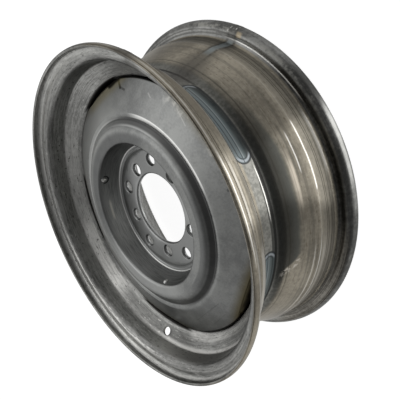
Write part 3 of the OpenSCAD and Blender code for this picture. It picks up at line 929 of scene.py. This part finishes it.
def waved(value, noise, height):
    """A measure made uneven by a noise, by half a height to each side."""
    return value + (noise - 0.5) * height


class Painted:
    """What the marks of a sheet are laid out by: its zones, noises, measures and tints, each under a name."""

    def __init__(self, at, drawn, even):
        self.at = at
        self.r, self.z, self.angle = at.r, at.z, at.angle
        self.past_chord = past_weld_chord(at)
        for name, (round_scale, run_scale, *grade) in drawn.items():
            setattr(self, name, speckle(at.drawn_out(round_scale, run_scale), 1, *grade))
        for name, grade in even.items():
            setattr(self, name, speckle(at.spot, *grade))

    def __getattr__(self, name):
        """A zone of the table ZONES, made when it is first asked for."""
        zone = self.within(1, *ZONES[name])
        setattr(self, name, zone)
        return zone

    def within(self, amount, *bounds):
        """An amount kept inside zones, sectors and limits."""
        for bound in bounds:
            if isinstance(bound, str):
                amount = getattr(self, bound) * amount
            elif isinstance(bound[0], str):
                value, ends = getattr(self, bound[0]), bound[1:]
                amount = rise(value, *ends[:2]) * amount
                if ends[2:]:
                    amount = rise(value, *ends[:1:-1]) * amount
            else:
                amount = self.at.sector(*bound) * amount
        return amount

    def mixed(self, name):
        """A named mixture of noises, from 0 to 1."""
        low, high, *shares = MIXTURES[name]
        return rise(sum(getattr(self, noise) * share for noise, share in shares), low, high)

    def marked(self, colour, marks):
        """A colour with a table of marks laid over it, one after another."""
        for tint, share, *bounds in marks.values():
            if isinstance(share, tuple):
                least, noise, added = share
                share = getattr(self, noise) * added + least
            paint = shade(*tint) if isinstance(tint, tuple) else getattr(self, tint)
            colour = blend(colour, paint, self.within(share, *bounds))
        return colour


class Strip(Painted):
    """The rolled strip's measures, its tone, and the zones and tints that are more than a row of a table."""

    def __init__(self, at):
        super().__init__(at, STRIP_DRAWN, STRIP_EVEN)
        self.tyre_side = rise(at.run, -0.4, 0.4)
        self.wheel_side = 1 - self.tyre_side
        self.outer_lip = self.lips * bigger(self.rear, self.grey_side)
        self.barrel = self.tyre_side - bigger(self.outer_lip, self.rear_front)
        shares = [(getattr(self, name), share + self.tyre_side * added) for name, share, added in STRIP_TONE]
        self.tone = rise(sum(noise * share for noise, share in shares), *TONE_ENDS)
        self.set_lips()
        self.set_scale()
        self.set_welds()

    def set_lips(self):
        """Lips: painted shade with a painted glint, a worn lip made lighter with painted light, and on the
        wheel's side painted highlights on the edges and painted light on the wall.
        """
        # Painted shade on the outer lips, and a painted highlight where the glint lies
        self.scaled_lip = self.outer_lip * (1 - self.glint)
        self.shining_lip = self.outer_lip * self.glint
        self.mottled = self.mixed("mottled")
        self.browned = two_tone("browned", self.mixed("drawn"))
        self.flange_r = waved(self.r, self.streaks, 3)
        self.heel_r = waved(self.r, self.streaks, 7)
        self.seat_z = waved(self.z, self.streaks, 3)
        # Worn lip, with painted light on one side and at the top
        rubbed_lip = self.rubbed_lip * (self.tone * 0.5 + self.rubbed_side * 0.25 + 0.25)
        self.rubbed = bigger(rubbed_lip, self.worn_top * (self.tone * 0.15 + 0.05))
        # Painted highlights along the heel, the seat edge and the flange's front
        self.bright_edges = bigger(bigger(self.heel_edge, self.seat_edge * 0.6), self.flange_front)
        # Painted light on sectors of the dish wall
        lit = bigger(self.lit_wall, self.lit_end * 0.4)
        self.bright_wall = lit * (self.streaks * 0.3 + self.tone * 0.35 + 0.3)

    def set_scale(self):
        """Bare steel of the well, the scale on the slope, and painted shade in the step in the same dark
        tint:
        they thin out towards the top, and the scale ends in a hard slanted line."""
        slant, level = 0.34, -28
        self.bare = two_tone("bare", self.mixed("bared"))
        self.scale = two_tone("scale", self.low_scale)
        self.step_z = self.z - self.high_scale * 4 + self.clean_foot * 3
        self.slope_z = waved(self.z - self.upper * 10, self.cloud, -6)
        self.lead = waved(self.angle + (self.z - level) * slant, self.cloud, 5)
        # Painted shade in the step, and scale on the slope
        step = self.step * (0.85 - self.upper * 0.45) * (0.35 + self.scale_start * 0.65)
        self.scaled = bigger(step, self.slope * (1 - self.upper * 0.6) * 0.88)

    def set_welds(self):
        """Heat ovals over the disc's welds, darker with painted shade in their lower part, and painted shade
        at the foot of the step. Butt weld: dark heat round it, widest at the foot of the slope. Soot and
        painted shade facing a relief lie lower at one weld."""
        self.oval, self.past_end, self.beside = heat_oval(self.at)
        self.shaded_oval = 1 - self.lit_oval * 0.6
        self.oval_lines = bigger(self.oval_ring, self.oval_line)
        self.heat = self.marked(two_tone("heat", self.oval_top), HEAT_TINTS)
        self.shaded_foot = self.well * (1 - self.clean_foot * 0.7)
        self.past_butt = self.at.arc_from(BUTT_ANGLE)
        self.off_butt = size_of(waved(self.past_butt, self.cloud, 9))
        wide = self.slope_foot
        self.butt_heat = rise(self.off_butt, wide * 18 + 17, 2) * (self.tone * 0.2 + wide * 0.2 + 0.4)
        self.butt_seam = self.butt_rear * 0.4 + 0.35
        # Soot and painted shade lie lower at one weld
        self.soot_and_shade_z = self.z + self.clean_wall * 7


def rim_look(at):
    """Rolled strip: tan in the barrel and grey on the lips and the wheel's side, with marks drawn out by the
    rollers and their rings, painted highlights and painted shade on the lips, walls and bends, heat ovals
    over the disc's welds and a flattened butt weld."""
    strip = Strip(at)
    colour = blend(two_tone("grey", strip.tone), two_tone("tan", strip.tone), strip.barrel)
    colour = strip.marked(colour, STRIP_MARKS)
    # Roller rings, with painted highlights and painted shade along the bends
    height = waved(at.z, strip.streaks, RING_WAVE)
    for middle, half, soft, level, share, *sector in RINGS:
        shown = strip.within(share, "tyre_side", sector) if sector else strip.barrel * share
        ring = band(height, middle, half, soft) * shown
        colour = blend(colour, shade(level, level - 2, level - 8), ring)
    colour = strip.marked(colour, WELD_MARKS)
    roughness = strip.lines * 0.08 + strip.heated * 0.05 + 0.27
    return {"Base Color": colour, "Roughness": roughness,
            "Height": (BUMP_DEPTH, strip.lines * (1 - strip.tyre_side * 0.65))}


class Disc(Painted):
    """The pressed disc's measures, its tone, and the zones that are more than a row of a table."""

    def __init__(self, at):
        super().__init__(at, DISC_DRAWN, DISC_EVEN)
        self.tone = self.mixed("toned")
        # Painted light on one side of the face and crown, and painted shade on the pad and its channel
        self.pale = self.pale_side * (1 - self.face_edge * 0.6)
        self.dull_pad = bigger(bigger(self.low_pad, self.high_pad), self.channel)
        round_nub = at.arc_from(NUB_ANGLE, 360 / NUB_COUNT)
        self.above_nub = at.z - NUB_MIDDLE_Z
        self.off_nub = at.z.math("SQRT", round_nub * round_nub + self.above_nub * self.above_nub)
        self.ragged_nub = waved(self.off_nub, self.mottle, 4)
        self.weld_brown = 0.5 + self.brown_weld * 0.4 - self.tan_weld * 0.3
        # The welds' burn and painted shade in the reliefs
        self.relief_dark_chord = waved(self.past_chord + self.burnt_end * 6.5, self.mottle, 2)
        self.burnt = bigger(self.burnt_relief, self.joint)


def disc_look(at):
    """Pressed sheet: even grey with a fine mottle and a painted sheen of lighter and darker sectors, a worn
    edge of the face with a painted highlight, painted highlights on the pad's edge and the nubs and a painted
    shadow below one nub, with scratches and scuffs, browned at the welds, with the welds' burn and painted
    shade in the reliefs."""
    disc = Disc(at)
    # Painted sheen: painted light and painted shade over sectors of the disc
    colour = disc.marked(two_tone("sheet", disc.tone), SHEEN_MARKS)
    for start, end, half, level, share in STROKES:
        off = waved(off_stroke(at, start, end), disc.mottle, STROKE_WAVE)
        colour = blend(colour, shade(level, level, level - 3), rise(off, half + STROKE_SOFT, half) * share)
    colour = disc.marked(colour, WEAR_AND_PAINTED_LIGHT_MARKS)
    roughness = disc.pale * 0.13 + disc.mottle * 0.07 + 0.3
    return {"Base Color": colour, "Roughness": roughness, "Height": (BUMP_DEPTH, disc.mottle)}


def bead_look(at):
    """Weld bead: dark oxide with brown and blue patches."""
    patch = speckle(at.spot, 120, 3)
    return {"Base Color": two_tone("bead", rise(patch, 0.35, 0.65)), "Roughness": 0.4 + patch * 0.2}


edge_tint = (0.55, 0.55, 0.55, 1.0)
rolled = {"Metallic": 1.0, "Anisotropic": 0.8, "Anisotropic Rotation": 0.25, "Specular Tint": edge_tint}
rim_steel = steel("rolled_strip", rolled, rim_look)
disc_steel = steel("pressed_sheet", {"Metallic": 1.0, "Specular Tint": edge_tint}, disc_look)
bead_steel = steel("weld_bead", {"Metallic": 0.8}, bead_look)

make_piece("rolled_rim", rim_grids(), rim_steel, ["rim"])
make_piece("pressed_disc", disc_grids(), disc_steel, ["centre_disc"])
for number in range(1, WELD_COUNT + 1):
    make_piece(f"weld_bead_{number}", [weld_grid(number)], bead_steel, [f"disc_weld_{number}"])


# Studio
CAMERA_PLACE = Vector((0.49112783, -0.28470925, 0.35870955))
CAMERA_RIGHT = Vector((0.26349126, -0.62835676, -0.73194271))
CAMERA_UP = Vector((0.65730084, 0.67230262, -0.34053604))
CAMERA_AHEAD = Vector((-0.70606513, 0.39137829, -0.59016529))
CAMERA_LENS = 48.951
CAMERA_SENSOR = 36.0
CAMERA_NEAR = 0.01
WALL_ANGLE = 118.0
PALE_WALL = 0.86
DARK_ROOM = 0.18
WALL_FADE = (-0.45, 0.55)
ROOM_FILL = 0.5
FLOOR_GLOW = 0.82
POOL_GLOW = 2.4
POOL_ANGLE = -38.0
POOL_HALF = 13.5
POOL_SOFT = 8.0
SIDE_GLOW = 1.2
SIDE_ANGLE = -138.0
SIDE_HALF = 30.0
SIDE_SOFT = 25.0
FLOOR_HALF = 6.0
FLOOR_GREY = 0.3
FLOOR_WHITE = 0.93
KEY_PLACE = (-0.13, 0.74, 1.30)
KEY_SIZE = (1.0, 1.0)
KEY_POWER = 2.2


def camera():
    """Camera of the photograph's view, from its place and its three directions."""
    data = bpy.data.cameras.new("camera")
    data.sensor_width = CAMERA_SENSOR
    data.lens = CAMERA_LENS
    data.clip_start = CAMERA_NEAR
    view = put("camera", data)
    columns = Matrix((CAMERA_RIGHT, CAMERA_UP, -CAMERA_AHEAD)).transposed().to_4x4()
    view.matrix_world = Matrix.Translation(CAMERA_PLACE) @ columns
    bpy.context.scene.camera = view


def softbox(name, place, aim, size, power):
    """Soft rectangular lamp at a place, turned to what it lights."""
    data = bpy.data.lights.new(name, "AREA")
    data.shape = "RECTANGLE"
    data.size, data.size_y = size
    data.energy = power
    lamp = put(name, data)
    lamp.location = place
    lamp.rotation_euler = (Vector(aim) - Vector(place)).to_track_quat("-Z", "Y").to_euler()
    lamp.visible_camera = False


def shown_rays(tree):
    """1 for rays from the camera, and 1 for rays that a mirror or glass sends on."""
    path = [Wire(tree).make("LightPath", output=i) for i in (0, 3, 6)]
    return path[0], bigger(path[1], path[2])


def studio_world():
    """White all round to the camera. Metal sees a pale wall on the far side of the wheel, fading to a dark
    room behind the camera."""
    world = bpy.data.worlds.new("studio")
    bpy.context.scene.world = world
    world.use_nodes = True
    tree = world.node_tree
    seen, mirrored = shown_rays(tree)
    way = Wire(tree).make("TexCoord", output=0)
    wall_way = math.radians(WALL_ANGLE)
    wall = (math.cos(wall_way), math.sin(wall_way), 0.0)
    towards = way.make("VectorMath", {"operation": "DOT_PRODUCT"}, {0: way, 1: wall}, 1)
    room = DARK_ROOM + rise(towards, *WALL_FADE) * (PALE_WALL - DARK_ROOM)
    level = seen + (1 - seen) * (mirrored * room + (1 - mirrored) * ROOM_FILL)
    backdrop = next(n for n in tree.nodes if n.type == "BACKGROUND")
    backdrop.inputs["Color"].default_value = (1, 1, 1, 1)
    tree.links.new(level.socket, backdrop.inputs["Strength"])


def floor():
    """Pale floor under the rear lip: it glows white to the camera and takes the wheel's shadow. Metal sees it
    less bright, with a pool of light on the camera's side and a brighter stretch on the near side."""
    square = np.array([[-1, -1, 0], [1, -1, 0], [1, 1, 0], [-1, 1, 0]])
    corners = square * FLOOR_HALF + [0, 0, cad_box[0][2]]
    mesh = bpy.data.meshes.new("floor")
    mesh.from_pydata(corners, [], [[0, 1, 2, 3]])
    material = bpy.data.materials.new("pale_floor")
    material.use_nodes = True
    tree = material.node_tree
    shader = next(n for n in tree.nodes if n.type == "BSDF_PRINCIPLED")
    shader.inputs["Base Color"].default_value = (FLOOR_GREY, FLOOR_GREY, FLOOR_GREY, 1)
    shader.inputs["Roughness"].default_value = 1.0
    shader.inputs["Specular IOR Level"].default_value = 0.0
    seen, mirrored = shown_rays(tree)
    at = WheelPlace(tree)
    pool = at.sector(POOL_ANGLE, POOL_HALF, POOL_SOFT) * (POOL_GLOW - FLOOR_GLOW)
    side = at.sector(SIDE_ANGLE, SIDE_HALF, SIDE_SOFT) * (SIDE_GLOW - FLOOR_GLOW)
    glow = bigger(seen * FLOOR_WHITE, mirrored * (FLOOR_GLOW + pool + side))
    white = seen.make("Emission", None, {"Color": (1, 1, 1, 1), "Strength": glow})
    both = seen.make("AddShader", None, {0: white, 1: Wire(tree, shader.outputs[0])})
    sheet = next(n for n in tree.nodes if n.type == "OUTPUT_MATERIAL")
    tree.links.new(both.socket, sheet.inputs["Surface"])
    mesh.materials.append(material)
    put("floor", mesh)


softbox("key_light", KEY_PLACE, (0, 0, 0), KEY_SIZE, KEY_POWER)
camera()
studio_world()
floor()
bpy.context.scene.view_settings.view_transform = "Standard"
